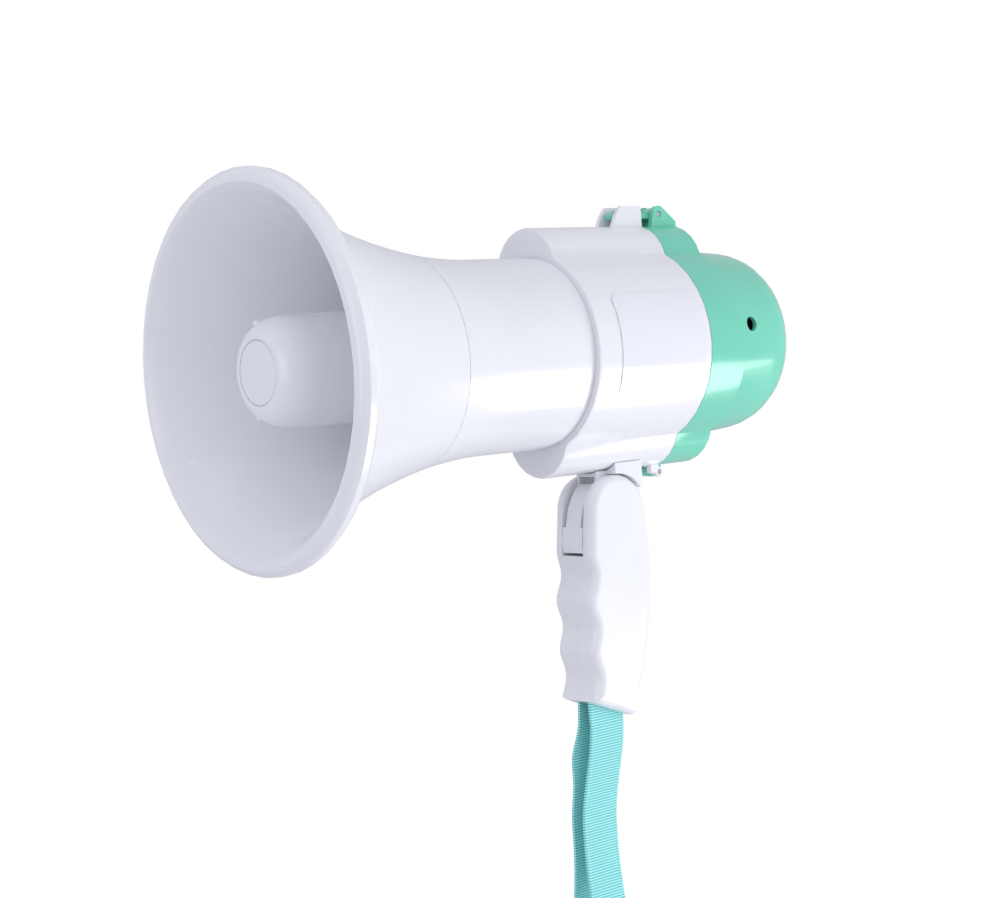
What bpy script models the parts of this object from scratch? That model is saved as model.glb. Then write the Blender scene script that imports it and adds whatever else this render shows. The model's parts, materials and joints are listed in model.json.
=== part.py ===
"""Handheld megaphone with a folding pistol grip, in metres, +Z up.

The horn points along -Y. Parts are drawn in the horn's own frame: y runs back from the mouth of the bell,
z is measured from the horn's axis. The world origin is in the middle of the grip, below the fold pin.
"""

import math

import bmesh
import bpy
from mathutils import Vector

# Bell, a flare that ends in a rolled lip
BELL_RADIUS = 0.0800
LIP_RADIUS = 0.0047
LIP_LAND = 0.0022
FLARE_MOUTH_RADIUS = 0.0740
FLARE_LENGTH = 0.1100
BELL_END = 0.0770
FLARE_POWER = 1.85
HORN_RADIUS = 0.0416
HORN_WALL = 0.0022

# Reflector cup, throat and driver inside the horn
CUP_RADIUS = 0.0225
CUP_FACE_RADIUS = 0.0143
CUP_FRONT = 0.0070
CUP_SHOULDER = 0.0150
CUP_END = 0.1000
CUP_WALL = 0.0020
DISC_THICKNESS = 0.0010
THROAT_RADIUS = 0.0105
THROAT_WALL = 0.0018
THROAT_START = 0.0320
DRIVER_FRONT = 0.1180

# Housing behind the horn: a cylinder with a lobe above and below
HOUSING_FRONT = 0.1470
HOUSING_END = 0.2132
HOUSING_RADIUS = 0.0445
LOBE_RADIUS = 0.0200
LOBE_CENTRE = 0.0345
SHELL_WALL = 0.0022
EDGE_ROUND = 0.0015

# Rear cap
CAP_START = 0.2136
CAP_BAND_END = 0.2360
CAP_SHOULDER = 0.2560
CAP_END = 0.2720
CAP_FRONT_RADIUS = 0.0438
CAP_SHOULDER_RADIUS = 0.0412
CAP_FACE_RADIUS = 0.0322
MIC_PLACE = (0.0, 0.0130)
MIC_RADIUS = 0.0120
KNOB_PLACE = (-0.0150, -0.0150)
KNOB_RADIUS = 0.0080
SWITCH_PLACE = (0.0150, -0.0150)
JACK_PLACE = (0.2423, 0.0067)
JACK_HOLE_RADIUS = 0.0033

# Latch between cap and housing, as half widths
KEEPER_INNER = 0.0040
KEEPER_OUTER = 0.0060
LATCH_LUG_INNER = 0.0034
LATCH_LUG_OUTER = 0.0058

# Joint axes, as (y, z)
FOLD_PIN = (0.1815, -0.0720)
TRIGGER_PIN = (0.1675, -0.0865)
CAP_PIN = (0.2134, -0.0572)
LATCH_PIN = (0.2240, 0.0595)

# Grip
GRIP_ORIGIN = Vector((0.0, FOLD_PIN[0], -0.1150))
GRIP_HALF_WIDTH = 0.0130
GRIP_ROUND = 0.0040
GRIP_WALL = 0.0024
KNUCKLE_RADIUS = 0.0165
FORK_HALF_WIDTH = 0.0069
GRIP_FRONT = 0.1645
RIDGE_HEIGHT = 0.0014
RIDGE_PITCH = 0.0220
RIDGE_FIRST = -0.0885
GRIP_LEAN = 0.0020
GRIP_BACK = 0.1994
GRIP_BACK_PEAK = -0.0920
GRIP_BACK_CURVE = 3.1
GRIP_BOTTOM_FRONT = -0.1545
GRIP_BOTTOM_BACK = -0.1630
CAVITY_TOP = -0.0920
LUG_INNER = 0.0051
LUG_OUTER = 0.0066
LUG_RADIUS = 0.0070
TRIGGER_HALF_WIDTH = 0.0065
TRIGGER_TOP_HALF_WIDTH = 0.0048
TRIGGER_SHOULDER = -0.0775
TRIGGER_HOOD_RADIUS = 0.0145

# Wrist strap, a loop of flat webbing around a bar in the foot of the grip
STRAP_WIDTH = 0.0190
STRAP_THICKNESS = 0.0014
STRAP_BAR = (0.1736, -0.1515)
STRAP_BAR_RADIUS = 0.0020
STRAP_DROP = 0.1850
STRAP_LOOP_RADIUS = 0.0130
STRAP_CLOSED_SHARE = 0.30

# Battery cells
CELL_RADIUS = 0.0071
CELL_LENGTH = 0.0505
CELL_COUNT = 8
CELL_CIRCLE = 0.0280
CELL_START = 0.1705

GAP = 0.0003

BELL_ROUND = 48
ROUND = 40
MEDIUM = 24
SMALL = 12

WHITE = ("white_plastic", (0.86, 0.87, 0.90), 0.22, 0.0)
MINT = ("mint_plastic", (0.16, 0.60, 0.43), 0.25, 0.0)
GREY = ("grey_plastic", (0.45, 0.46, 0.48), 0.50, 0.0)
BLACK = ("black_plastic", (0.03, 0.03, 0.03), 0.45, 0.0)
STEEL = ("steel", (0.62, 0.62, 0.63), 0.30, 1.0)
BRASS = ("brass", (0.78, 0.60, 0.28), 0.30, 1.0)
MAGNET = ("ferrite", (0.08, 0.08, 0.09), 0.60, 0.3)
BOARD = ("circuit_board", (0.03, 0.25, 0.10), 0.50, 0.0)
FILM = ("diaphragm_film", (0.55, 0.42, 0.20), 0.40, 0.0)
WEBBING = ("teal_webbing", (0.01, 0.45, 0.46), 0.85, 0.0)
LABEL = ("label_film", (0.88, 0.89, 0.91), 0.15, 0.0)
CELL = ("battery_wrap", (0.10, 0.22, 0.45), 0.35, 0.1)


# Scene and object helpers


def clear_scene():
    for thing in list(bpy.data.objects):
        bpy.data.objects.remove(thing, do_unlink=True)


def material(spec):
    name, colour, roughness, metallic = spec
    found = bpy.data.materials.get(name)
    if found:
        return found
    made = bpy.data.materials.new(name)
    made.use_nodes = True
    shader = made.node_tree.nodes["Principled BSDF"]
    shader.inputs["Base Color"].default_value = (*colour, 1.0)
    shader.inputs["Roughness"].default_value = roughness
    shader.inputs["Metallic"].default_value = metallic
    return made


def axis_empty(name, point, parent=None):
    """An empty at a point of the horn's frame. Pieces given to it turn about that point."""
    empty = bpy.data.objects.new(name, None)
    bpy.context.collection.objects.link(empty)
    empty["point"] = tuple(point)
    empty.parent = parent
    start = Vector(parent["point"]) if parent else GRIP_ORIGIN
    empty.location = Vector(point) - start
    return empty


def add_piece(name, shape, axis, spec=None):
    """Makes an object of a bmesh drawn in the horn's frame. With no material it is a cutter."""
    bmesh.ops.recalc_face_normals(shape, faces=shape.faces)
    mesh = bpy.data.meshes.new(name)
    shape.to_mesh(mesh)
    shape.free()
    mesh.shade_smooth()
    mesh.set_sharp_from_angle(angle=math.radians(32))
    piece = bpy.data.objects.new(name, mesh)
    bpy.context.collection.objects.link(piece)
    piece.parent = axis
    piece.location = -Vector(axis["point"])
    if spec:
        mesh.materials.append(material(spec))
    else:
        piece.hide_render = True
        piece.display_type = "WIRE"
    return piece


def combine(piece, operation, name, shape):
    """Adds or takes away a shape with an exact Boolean."""
    tool = add_piece(f"{operation.lower()}_{name}", shape, piece.parent)
    modifier = piece.modifiers.new(name, "BOOLEAN")
    modifier.operation = operation
    modifier.object = tool
    modifier.solver = "EXACT"


def cut(piece, name, shape):
    combine(piece, "DIFFERENCE", name, shape)


def join(piece, name, shape):
    combine(piece, "UNION", name, shape)


# Shapes


def from_rings(rings):
    """A closed solid through rings with the same number of points, with flat ends."""
    shape = bmesh.new()
    rows = [[shape.verts.new(point) for point in ring] for ring in rings]
    for low, high in zip(rows, rows[1:]):
        for k in range(len(low)):
            shape.faces.new((low[k - 1], low[k], high[k], high[k - 1]))
    shape.faces.new(rows[0])
    shape.faces.new(rows[-1])
    return shape


def ring_loop(rings):
    """A closed solid whose last ring meets the first, such as an endless band."""
    shape = bmesh.new()
    rows = [[shape.verts.new(point) for point in ring] for ring in rings]
    for low, high in zip(rows, rows[1:] + rows[:1]):
        for k in range(len(low)):
            shape.faces.new((low[k - 1], low[k], high[k], high[k - 1]))
    return shape


def circle(radius, count, centre=(0.0, 0.0)):
    angles = [2 * math.pi * k / count for k in range(count)]
    return [(centre[0] + radius * math.cos(a), centre[1] + radius * math.sin(a)) for a in angles]


def arc(centre, radius, start, end, count):
    """Points on an arc, from one angle to another in degrees, both ends included."""
    angles = [math.radians(start + (end - start) * k / count) for k in range(count + 1)]
    return [(centre[0] + radius * math.cos(a), centre[1] + radius * math.sin(a)) for a in angles]


def prism_x(outline, low, high):
    """An outline of (y, z) points between two places along X."""
    return from_rings([[(x, y, z) for y, z in outline] for x in (low, high)])


def prism_y(outline, low, high):
    """An outline of (x, z) points between two places along Y."""
    return from_rings([[(x, y, z) for x, z in outline] for y in (low, high)])


def prism_z(outline, low, high):
    """An outline of (x, y) points between two heights."""
    return from_rings([[(x, y, z) for x, y in outline] for z in (low, high)])


def block(low, high):
    corners = [(low[1], low[2]), (high[1], low[2]), (high[1], high[2]), (low[1], high[2])]
    return prism_x(corners, low[0], high[0])


def turned(profile, count, centre=(0.0, 0.0)):
    """Turns a closed profile of (y, radius) points about a line along Y."""
    shape = bmesh.new()
    rows = []
    for y, radius in profile:
        if radius == 0.0:
            rows.append([shape.verts.new((centre[0], y, centre[1]))])
        else:
            rows.append([shape.verts.new((x, y, z)) for x, z in circle(radius, count, centre)])
    for low, high in zip(rows, rows[1:] + rows[:1]):
        if len(low) == len(high) == 1:
            continue
        for k in range(count):
            if len(low) == 1:
                shape.faces.new((low[0], high[k], high[k - 1]))
            elif len(high) == 1:
                shape.faces.new((low[k - 1], low[k], high[0]))
            else:
                shape.faces.new((low[k - 1], low[k], high[k], high[k - 1]))
    return shape


def tube(start, end, outer, inner, count, centre=(0.0, 0.0)):
    return turned([(start, outer), (end, outer), (end, inner), (start, inner)], count, centre)


def rod_y(start, end, radius, count, centre=(0.0, 0.0)):
    return prism_y(circle(radius, count, centre), start, end)


def rod_x(low, high, radius, count, centre):
    return prism_x(circle(radius, count, centre), low, high)


# Outlines


def lobed_outline(inset):
    """The housing's cross-section: the union of a circle and two lobes, moved in by an inset."""
    body = HOUSING_RADIUS - inset
    lobe = LOBE_RADIUS - inset
    crease = (body**2 - lobe**2 + LOBE_CENTRE**2) / (2 * LOBE_CENTRE)
    body_end = math.degrees(math.asin(crease / body))
    lobe_end = math.degrees(math.asin((crease - LOBE_CENTRE) / lobe))
    side = arc((0, 0), body, -body_end, body_end, 12)[:-1]
    top = arc((0, LOBE_CENTRE), lobe, lobe_end, 180 - lobe_end, 10)[:-1]
    quarter = side + top
    return quarter + [(-x, -z) for x, z in quarter]


def lobed_solid(start, end, inset, round_start=False, round_end=False):
    """A lobed prism whose first or last edge may be rounded."""
    sections = [(start, inset), (end, inset)]
    rounding = [(math.sin(t), math.cos(t)) for t in (0, math.pi / 4, math.pi / 2)]
    if round_start:
        sections[:1] = [
            (start + EDGE_ROUND * (1 - c), inset + EDGE_ROUND * (1 - s)) for s, c in rounding
        ]
    if round_end:
        sections[-1:] = [
            (end - EDGE_ROUND * (1 - c), inset + EDGE_ROUND * (1 - s)) for s, c in reversed(rounding)
        ]
    return from_rings([[(x, y, z) for x, z in lobed_outline(i)] for y, i in sections])


def flare_radius(y):
    """Outer radius of the flare at a depth behind the mouth."""
    share = max(0.0, 1 - y / FLARE_LENGTH)
    return HORN_RADIUS + (FLARE_MOUTH_RADIUS - HORN_RADIUS) * share**FLARE_POWER


def grip_front(z):
    """Front edge of the grip, with its finger ridges. It leans forward below the trigger."""
    share = min(1.0, max(0.0, (RIDGE_FIRST - z) / RIDGE_PITCH))
    lean = GRIP_LEAN * share**2 * (3 - 2 * share)
    return GRIP_FRONT - lean - RIDGE_HEIGHT * math.cos(2 * math.pi * (z - RIDGE_FIRST) / RIDGE_PITCH)


def grip_back(z):
    return GRIP_BACK - GRIP_BACK_CURVE * (z - GRIP_BACK_PEAK) ** 2


def grip_outline():
    """Side view of the grip: knuckle, curved back, slanted foot and ridged front."""
    knuckle = arc(FOLD_PIN, KNUCKLE_RADIUS, 165, 5, 13)
    back_end = -0.1520
    back = [(grip_back(z), z) for z in steps(-0.0800, back_end, 6)]
    foot_back = (grip_back(back_end) - 0.0008, GRIP_BOTTOM_BACK + 0.0040)
    foot = [
        foot_back,
        (foot_back[0] - 0.0012, GRIP_BOTTOM_BACK + 0.0010),
        (foot_back[0] - 0.0045, GRIP_BOTTOM_BACK),
        (FOLD_PIN[0] - 0.0060, (GRIP_BOTTOM_BACK + GRIP_BOTTOM_FRONT) / 2 - 0.0012),
        (GRIP_FRONT - GRIP_LEAN + 0.0030, GRIP_BOTTOM_FRONT - 0.0015),
    ]
    front = [(grip_front(z), z) for z in steps(GRIP_BOTTOM_FRONT + 0.0005, RIDGE_FIRST, 20)]
    return knuckle + back + foot + front


def steps(start, end, count):
    return [start + (end - start) * k / count for k in range(count + 1)]


def inset_outline(outline, distance):
    """Moves each point of a clockwise (y, z) outline inwards along its normal."""
    moved = []
    for k, (y, z) in enumerate(outline):
        before = Vector(outline[k - 1])
        after = Vector(outline[(k + 1) % len(outline)])
        along = (after - before).normalized()
        moved.append((y + along.y * distance, z - along.x * distance))
    return moved


# Horn


def make_bell(axis):
    lip_y = LIP_RADIUS
    lip_r = BELL_RADIUS - LIP_RADIUS
    behind = math.radians(35)
    join_y = lip_y + LIP_RADIUS * math.sin(behind)
    depths = [join_y + (BELL_END - join_y) * (k / 8) ** 1.2 for k in range(1, 9)]
    outer = [(y, flare_radius(y)) for y in depths]
    inner = [(y, flare_radius(y) - HORN_WALL) for y in reversed([lip_y * 1.2] + depths[1:])]
    lip = [(0.0, lip_r - LIP_LAND / 2), (0.0, lip_r + LIP_LAND / 2)]
    lip += [
        (lip_y - LIP_RADIUS * math.sin(math.radians(a)), lip_r + LIP_RADIUS * math.cos(math.radians(a)))
        for a in (50, 15, -20, -55, -90)
    ]
    add_piece("bell", turned(lip + outer + inner, BELL_ROUND), axis, WHITE)


def make_horn_collar(axis):
    """The tail of the flare, and the tube that runs into the housing."""
    depths = steps(BELL_END + GAP, FLARE_LENGTH, 4) + [HOUSING_FRONT + 0.0100]
    outer = [(y, flare_radius(y)) for y in depths]
    inner = [(y, radius - HORN_WALL) for y, radius in reversed(outer)]
    add_piece("horn_collar", turned(outer + inner, ROUND), axis, WHITE)


def make_reflector_cup(axis):
    shoulder = [
        (
            CUP_FRONT + CUP_SHOULDER * (1 - math.cos(a)),
            CUP_FACE_RADIUS + (CUP_RADIUS - CUP_FACE_RADIUS) * math.sin(a),
        )
        for a in steps(0, math.pi / 2, 5)
    ]
    outer = shoulder + [(CUP_END, CUP_RADIUS)]
    inner = [(y + CUP_WALL * 0.7, r - CUP_WALL) for y, r in reversed(outer[1:-1])]
    floor = CUP_FRONT + DISC_THICKNESS + CUP_WALL
    seat = CUP_FACE_RADIUS - 0.0012
    profile = [(CUP_FRONT + DISC_THICKNESS, 0.0), (CUP_FRONT + DISC_THICKNESS, seat), (CUP_FRONT, seat)]
    profile += outer + [(CUP_END, CUP_RADIUS - CUP_WALL)] + inner + [(floor, 0.0)]
    add_piece("reflector_cup", turned(profile, MEDIUM + 4), axis, WHITE)
    disc = rod_y(CUP_FRONT + 0.0001, CUP_FRONT + DISC_THICKNESS - GAP, seat - GAP, MEDIUM)
    add_piece("cup_disc", disc, axis, LABEL)


def make_spider(axis):
    """A ring around the back of the cup, with three vanes that reach the horn's wall."""
    low = CUP_END - 0.0120
    high = CUP_END + 0.0020
    ring_outer = CUP_RADIUS + 0.0026
    spider = add_piece("horn_spider", tube(low, high, ring_outer, CUP_RADIUS + GAP, MEDIUM + 4), axis, WHITE)
    reach = HORN_RADIUS - HORN_WALL - 2 * GAP
    for k in range(3):
        angle = math.radians(90 + 120 * k)
        across = Vector((-math.sin(angle), 0, math.cos(angle))) * 0.0012
        out = Vector((math.cos(angle), 0, math.sin(angle)))
        root = out * (CUP_RADIUS + 0.0012)
        tip = out * reach
        corners = [root - across, root + across, tip + across, tip - across]
        vane = from_rings([[(c.x, y, c.z) for c in corners] for y in (low + 0.001, high - 0.001)])
        join(spider, f"vane_{k + 1}", vane)


def make_throat(axis):
    base = DRIVER_FRONT - GAP
    flange = 0.0160
    bore = THROAT_RADIUS - THROAT_WALL
    profile = [
        (THROAT_START, THROAT_RADIUS),
        (base - 0.0040, THROAT_RADIUS),
        (base - 0.0030, flange),
        (base, flange),
        (base, bore),
        (THROAT_START, bore),
    ]
    add_piece("throat_tube", turned(profile, 20), axis, WHITE)


def make_driver(axis):
    """The compression driver, from its front plate back to its yoke."""
    wall = HORN_RADIUS - HORN_WALL - GAP
    plate_end = DRIVER_FRONT + 0.0040
    bore = THROAT_RADIUS - THROAT_WALL
    add_piece("driver_plate", tube(DRIVER_FRONT, plate_end, wall, bore, MEDIUM), axis, GREY)
    surround = tube(plate_end + GAP, plate_end + 0.0110, 0.0360, 0.0248, MEDIUM)
    add_piece("driver_surround", surround, axis, GREY)
    quarter = steps(0, math.pi / 2, 4)
    dome = [(plate_end + 0.0090 - 0.0070 * math.cos(a), 0.0240 * math.sin(a)) for a in quarter]
    back = [(y + 0.0006, r) for y, r in dome[:-1]]
    film = dome + [(plate_end + 0.0096, 0.0240)] + back[::-1]
    add_piece("diaphragm", turned(film, MEDIUM), axis, FILM)
    coil_start = plate_end + 0.0100
    add_piece("voice_coil", tube(coil_start, coil_start + 0.0070, 0.0174, 0.0164, 24), axis, BRASS)
    pole_plate = plate_end + 0.0113
    add_piece("pole_plate", tube(pole_plate, pole_plate + 0.0040, 0.0300, 0.0180, MEDIUM), axis, STEEL)
    magnet = pole_plate + 0.0043
    add_piece("driver_magnet", tube(magnet, magnet + 0.0120, 0.0320, 0.0200, MEDIUM), axis, MAGNET)
    yoke = magnet + 0.0123
    pole = [(pole_plate, 0.0), (pole_plate, 0.0158), (yoke, 0.0158), (yoke, 0.0290)]
    pole += [(yoke + 0.0045, 0.0290), (yoke + 0.0045, 0.0)]
    add_piece("driver_yoke", turned(pole, MEDIUM), axis, STEEL)


# Housing and its bracket


def make_housing(axis):
    solid = lobed_solid(HOUSING_FRONT, HOUSING_END, 0.0, round_start=True)
    housing = add_piece("main_housing", solid, axis, WHITE)
    cut(housing, "housing_inside", lobed_solid(HOUSING_FRONT + SHELL_WALL, HOUSING_END + 0.01, SHELL_WALL))
    mouth = rod_y(HOUSING_FRONT - 0.01, HOUSING_FRONT + 0.003, HORN_RADIUS + GAP, ROUND)
    cut(housing, "horn_hole", mouth)
    for x in (-0.0080, 0.0080):
        hole = prism_z(circle(0.0016, SMALL, (x, 0.1930)), -0.0600, -0.0450)
        cut(housing, f"bracket_hole_{'left' if x < 0 else 'right'}", hole)
    add_latch_keeper(housing)
    for side in (-1, 1):
        ear = block_between(side * 0.0033, side * 0.0063, (0.2085, -0.0575), (0.2130, -0.0535))
        join(housing, f"hinge_ear_{side + 2}", ear)
        barrel = rod_between(side * 0.0034, side * 0.0062, 0.0022, CAP_PIN)
        join(housing, f"hinge_barrel_{side + 2}", barrel)
    cut(housing, "cap_pin_hole", rod_x(-0.0070, 0.0070, 0.0012, SMALL, CAP_PIN))


def block_between(x0, x1, low, high):
    """A block between two places along X, given in either order."""
    return block((min(x0, x1), *low), (max(x0, x1), *high))


def rod_between(x0, x1, radius, centre):
    return rod_x(min(x0, x1), max(x0, x1), radius, SMALL, centre)


def add_latch_keeper(housing):
    """A raised frame on the housing: two cheeks and the bar that the latch arm runs under."""
    cheek = [(0.1935, 0.0515), (0.1970, 0.0590), (0.2005, 0.0632), (0.2126, 0.0632), (0.2126, 0.0515)]
    for side in (-1, 1):
        low, high = sorted((side * KEEPER_INNER, side * KEEPER_OUTER))
        join(housing, f"keeper_cheek_{side + 2}", prism_x(cheek, low, high))
    reach = (KEEPER_INNER + KEEPER_OUTER) / 2
    bar = block((-reach, 0.2050, 0.0614), (reach, 0.2110, 0.0631))
    join(housing, "keeper_bar", bar)


def make_bracket(axis):
    """The fold bracket: two lugs on the pin, and a heel that closes the joint from behind."""
    y, z = FOLD_PIN
    lug = arc(FOLD_PIN, LUG_RADIUS, 180, 360, 12)
    lug += [(y + LUG_RADIUS, z + 0.0225), (y - LUG_RADIUS, z + 0.0225)]
    bracket = add_piece("hinge_bracket", prism_x(lug, LUG_INNER, LUG_OUTER), axis, WHITE)
    join(bracket, "far_lug", prism_x(lug, -LUG_OUTER, -LUG_INNER))
    bridge = block((-0.0065, y - LUG_RADIUS + 0.0001, z + 0.0160), (0.0065, y + 0.0050, z + 0.0224))
    join(bracket, "bridge", bridge)
    heel = block((-0.0126, y - 0.0010, z + 0.0095), (0.0126, y + 0.0150, z + 0.0223))
    join(bracket, "heel", heel)
    cut(bracket, "heel_hollow", rod_x(-0.0140, -LUG_OUTER, KNUCKLE_RADIUS + 0.0004, 36, FOLD_PIN))
    cut(bracket, "heel_hollow_near", rod_x(LUG_OUTER, 0.0140, KNUCKLE_RADIUS + 0.0004, 36, FOLD_PIN))
    middle = rod_x(-LUG_INNER, LUG_INNER, KNUCKLE_RADIUS - 0.0010, 32, FOLD_PIN)
    cut(bracket, "middle_hollow", middle)
    cut(bracket, "fold_pin_hole", rod_x(-0.0100, 0.0100, 0.0033, 20, FOLD_PIN))
    seat = circle(LOBE_RADIUS + GAP, 40, (0, -LOBE_CENTRE))
    cut(bracket, "lobe_seat", prism_y(seat, 0.1600, 0.2050))
    for x in (-0.0080, 0.0080):
        hole = prism_z(circle(0.0016, SMALL, (x, 0.1930)), -0.0615, -0.0400)
        cut(bracket, f"screw_hole_{'left' if x < 0 else 'right'}", hole)
    for number, x in enumerate((-0.0080, 0.0080), 1):
        add_bracket_screw(f"bracket_screw_{number}", x, axis)
    add_piece("fold_pin", rod_x(-0.0117, 0.0117, 0.0030, 20, FOLD_PIN), axis, STEEL)


def add_bracket_screw(name, x, axis):
    """A pan-head screw whose head bears on the inside of the lobe."""
    place = (x, 0.1930)
    head_bottom = -LOBE_CENTRE - math.sqrt((LOBE_RADIUS - SHELL_WALL) ** 2 - (abs(x) + 0.0026) ** 2) + GAP
    sections = [(0.0013, -0.0580), (0.0013, head_bottom + 0.0005), (0.0026, head_bottom + 0.0005)]
    sections += [(0.0022, head_bottom + 0.0024)]
    rings = [[(px, py, z) for px, py in circle(r, SMALL, place)] for r, z in sections]
    add_piece(name, from_rings(rings), axis, STEEL)


def make_label(axis):
    """A blank plate that follows the housing's near side."""
    inner = HOUSING_RADIUS + GAP
    outer_arc = arc((0, 0), inner + 0.0004, -27, 31, 10)
    inner_arc = arc((0, 0), inner, -27, 31, 10)
    outline = outer_arc + inner_arc[::-1]
    add_piece("label_plate", prism_y(outline, 0.1600, 0.2090), axis, LABEL)


# Batteries


def make_batteries(axis):
    """A bobbin-shaped holder with cells around its core, and a contact ring at each end."""
    front = CELL_START - 0.0012
    back = CELL_START + CELL_LENGTH + 0.0012
    plate = 0.0024
    core = 0.0120
    rim = 0.0390
    profile = [
        (front - plate, 0.0),
        (front - plate, rim),
        (front, rim),
        (front, core),
        (back, core),
        (back, rim),
        (back + plate, rim),
        (back + plate, 0.0),
    ]
    add_piece("battery_holder", turned(profile, MEDIUM), axis, GREY)
    ring = 0.0006
    add_piece("contact_ring_front", tube(front + GAP, front + GAP + ring, 0.0360, 0.0200, 24), axis, BRASS)
    add_piece("contact_ring_back", tube(back - GAP - ring, back - GAP, 0.0360, 0.0200, 24), axis, BRASS)
    for k in range(CELL_COUNT):
        angle = 2 * math.pi * (k + 0.5) / CELL_COUNT
        centre = (CELL_CIRCLE * math.cos(angle), CELL_CIRCLE * math.sin(angle))
        add_piece(f"battery_cell_{k + 1}", cell_shape(centre, k % 2), axis, CELL)


def cell_shape(centre, turned_round):
    """A round cell with a raised button at one end."""
    button = 0.0012
    sections = [(0.0, CELL_RADIUS - 0.0004), (0.0004, CELL_RADIUS), (CELL_LENGTH - button, CELL_RADIUS)]
    sections += [(CELL_LENGTH - button, 0.0027), (CELL_LENGTH, 0.0027)]
    if turned_round:
        sections = [(CELL_LENGTH - along, radius) for along, radius in sections]
    sections = [(sections[0][0], 0.0)] + sections + [(sections[-1][0], 0.0)]
    profile = [(CELL_START + along, radius) for along, radius in sections]
    return turned(profile, SMALL, centre)


# Rear cap and the electronics it carries


def cap_profile(inset):
    """Outer or inner profile of the cap's cylinder, from its front to its face."""
    shoulder = [
        (
            CAP_SHOULDER + (CAP_END - inset - CAP_SHOULDER) * math.sin(a),
            CAP_FACE_RADIUS - inset + (CAP_SHOULDER_RADIUS - CAP_FACE_RADIUS) * math.cos(a),
        )
        for a in steps(0, math.pi / 2, 5)
    ]
    return [(CAP_START + 0.0080, CAP_FRONT_RADIUS - inset)] + shoulder


def make_cap(axis):
    band = lobed_solid(CAP_START, CAP_BAND_END, 0.0, round_end=True)
    cap = add_piece("rear_cap", band, axis, MINT)
    dome = cap_profile(0.0)
    join(cap, "cap_dome", turned([(dome[0][0], 0.0)] + dome + [(dome[-1][0], 0.0)], ROUND))
    cut(cap, "band_inside", lobed_solid(CAP_START - 0.01, CAP_BAND_END - SHELL_WALL, SHELL_WALL))
    hollow = cap_profile(SHELL_WALL)
    cut(cap, "dome_inside", turned([(hollow[0][0], 0.0)] + hollow + [(hollow[-1][0], 0.0)], ROUND))
    wall = (CAP_END - 0.006, CAP_END + 0.004)
    cut(cap, "mic_hole", rod_y(*wall, MIC_RADIUS + GAP, 32, MIC_PLACE))
    cut(cap, "shaft_hole", rod_y(*wall, 0.0034, 20, KNOB_PLACE))
    x, z = SWITCH_PLACE
    cut(cap, "switch_slot", block((x - 0.0062, wall[0], z - 0.0027), (x + 0.0062, wall[1], z + 0.0027)))
    cut(cap, "jack_hole", rod_x(0.0350, 0.0480, JACK_HOLE_RADIUS, 20, JACK_PLACE))
    add_latch_lugs(cap)
    add_cap_knuckle(cap)
    add_piece("cap_hinge_pin", rod_x(-0.0061, 0.0061, 0.0009, SMALL, CAP_PIN), axis, STEEL)
    reach = LATCH_LUG_OUTER - GAP
    add_piece("latch_pin", rod_x(-reach, reach, 0.0010, SMALL, LATCH_PIN), axis, STEEL)


def add_latch_lugs(cap):
    y, z = LATCH_PIN
    crown = arc(LATCH_PIN, 0.0037, 175, 60, 8)
    outline = [(y - 0.0060, 0.0515)] + crown + [(y + 0.0102, 0.0560), (y + 0.0102, 0.0515)]
    for side in (-1, 1):
        low, high = sorted((side * LATCH_LUG_INNER, side * LATCH_LUG_OUTER))
        join(cap, f"latch_lug_{side + 2}", prism_x(outline, low, high))
    cut(cap, "latch_pin_hole", rod_x(-0.0090, 0.0090, 0.0013, SMALL, LATCH_PIN))


def add_cap_knuckle(cap):
    y, z = CAP_PIN
    join(cap, "knuckle_web", block((-0.0030, y + 0.0006, z), (0.0030, y + 0.0042, z + 0.0038)))
    join(cap, "knuckle", rod_x(-0.0029, 0.0029, 0.0022, SMALL, CAP_PIN))
    cut(cap, "knuckle_hole", rod_x(-0.0040, 0.0040, 0.0012, SMALL, CAP_PIN))


def make_electronics(axis):
    board = 0.2510
    add_piece("circuit_board", rod_y(board, board + 0.0016, 0.0370, 32), axis, BOARD)
    chip = block((-0.0100, board - 0.0045, -0.0230), (0.0100, board - GAP, -0.0150))
    add_piece("output_chip", chip, axis, BLACK)
    make_heat_sink(axis, board)
    for number, x in enumerate((-0.0180, -0.0060), 1):
        can = rod_y(board - 0.0120, board - GAP, 0.0045, SMALL, (x, 0.0180))
        add_piece(f"capacitor_{number}", can, axis, BLACK)
    make_jack(axis)
    make_microphone(axis)
    make_volume_pot(axis)
    x, z = SWITCH_PLACE
    inner_face = CAP_END - SHELL_WALL - GAP
    body = block((x - 0.0085, inner_face - 0.0060, z - 0.0040), (x + 0.0085, inner_face, z + 0.0040))
    add_piece("mode_switch", body, axis, STEEL)


def make_heat_sink(axis, board):
    """A base with five fins, in front of the board."""
    low, high = -0.0100, 0.0100
    fin, gap = 0.0020, 0.0025
    outline = [(low, -0.0130)]
    for k in range(5):
        x = low + k * (fin + gap)
        outline += [(x, -0.0010), (x + fin, -0.0010)]
        if k < 4:
            outline += [(x + fin, -0.0100), (x + fin + gap, -0.0100)]
    outline += [(high, -0.0130)]
    add_piece("heat_sink", prism_y(outline, board - 0.0110, board - GAP), axis, STEEL)


def make_jack(axis):
    y, z = JACK_PLACE
    front = 0.0372
    body = block((front - 0.0120, y - 0.0048, z - 0.0048), (front, y + 0.0048, z + 0.0048))
    jack = add_piece("dc_jack", body, axis, BLACK)
    cut(jack, "jack_bore", rod_x(front - 0.0100, front + 0.0020, JACK_HOLE_RADIUS, 20, JACK_PLACE))


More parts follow.
